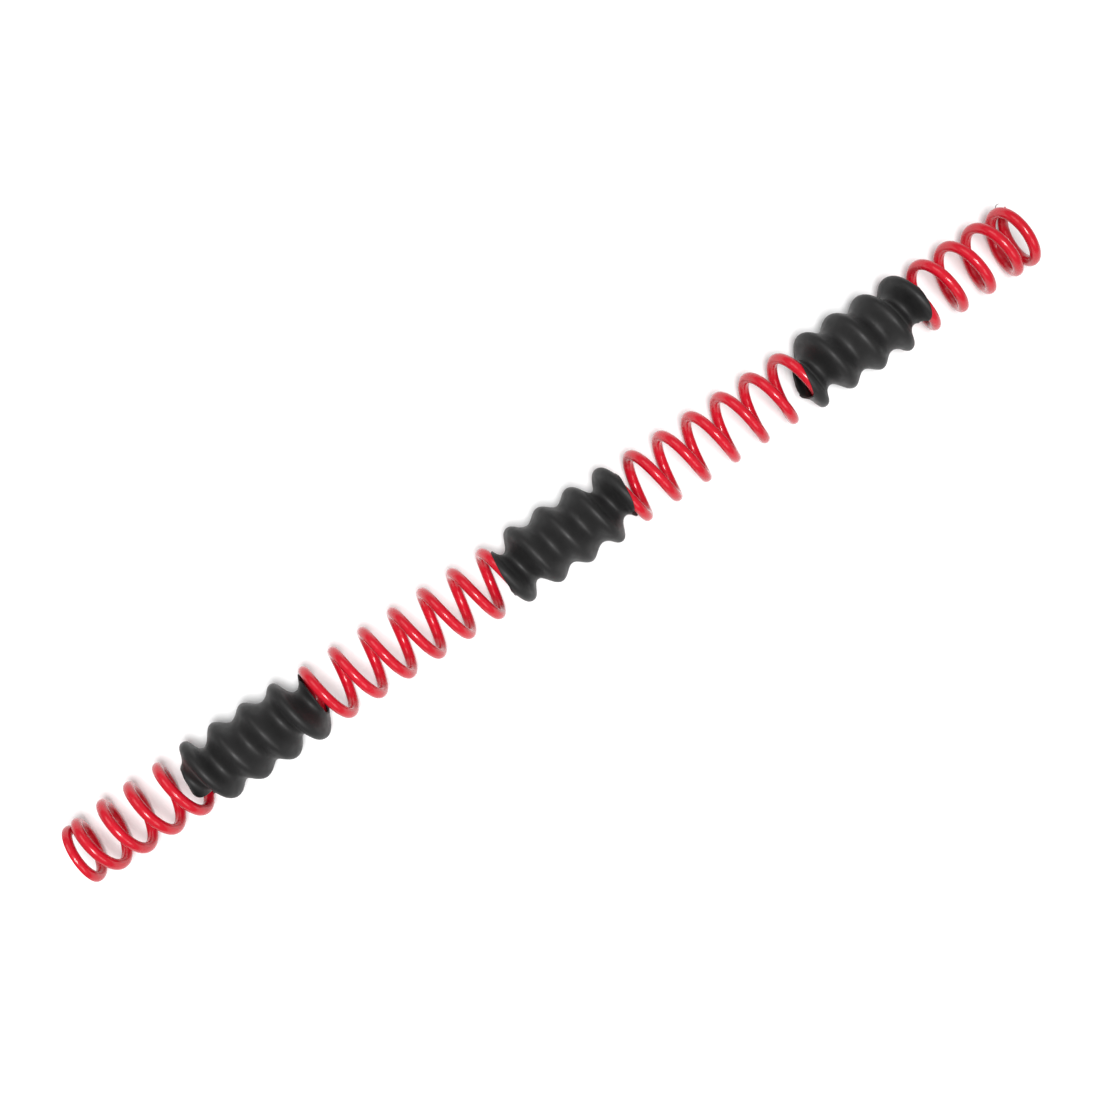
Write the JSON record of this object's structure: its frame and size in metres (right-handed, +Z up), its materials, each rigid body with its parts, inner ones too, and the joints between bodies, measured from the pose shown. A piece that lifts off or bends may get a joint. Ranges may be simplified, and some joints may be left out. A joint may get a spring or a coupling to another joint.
{
  "type": "coil spring",
  "caption": "Long, slim helical compression spring with closed, ground ends and corrugated rubber sleeves shrunk over its coils, lying on its side.",
  "frame": {"origin": "on the ground under the middle of the lying spring", "axes": "+X along the spring's axis from the fixed end to the end that moves in, +Z up, +Y to the side where the wire's tips are"},
  "size_m": [0.4568, 0.03, 0.0299],
  "materials": {
    "red_powder_coat": "gloss powder coat",
    "black_rubber": "matte"
  },
  "bodies": {
    "lower_end": {"lower_end_coil": "red_powder_coat", "coil_spring": "red_powder_coat"},
    "lower_sleeve": {"lower_sleeve": "black_rubber"},
    "middle_sleeve": {"middle_sleeve": "black_rubber"},
    "upper_sleeve": {"upper_sleeve": "black_rubber"},
    "upper_end": {"upper_end_coil": "red_powder_coat"}
  },
  "joints": [
    {"name": "compression", "type": "slide", "parent": "lower_end", "child": "upper_end", "axis": [-1, 0, 0], "range_m": [0, 0.2], "stiffness_N_per_m": 8000, "deforming": ["coil_spring"]},
    {"name": "lower_sleeve_slide", "type": "slide", "parent": "lower_end", "child": "lower_sleeve", "axis": [-1, 0, 0], "range_m": [0, 0.0344]},
    {"name": "middle_sleeve_slide", "type": "slide", "parent": "lower_end", "child": "middle_sleeve", "axis": [-1, 0, 0], "range_m": [0, 0.1017]},
    {"name": "upper_sleeve_slide", "type": "slide", "parent": "lower_end", "child": "upper_sleeve", "axis": [-1, 0, 0], "range_m": [0, 0.1666]}
  ],
  "couplings": [
    {"joint": "lower_sleeve_slide", "follows": "compression", "ratio": 0.16968},
    {"joint": "middle_sleeve_slide", "follows": "compression", "ratio": 0.50613},
    {"joint": "upper_sleeve_slide", "follows": "compression", "ratio": 0.83032}
  ]
}
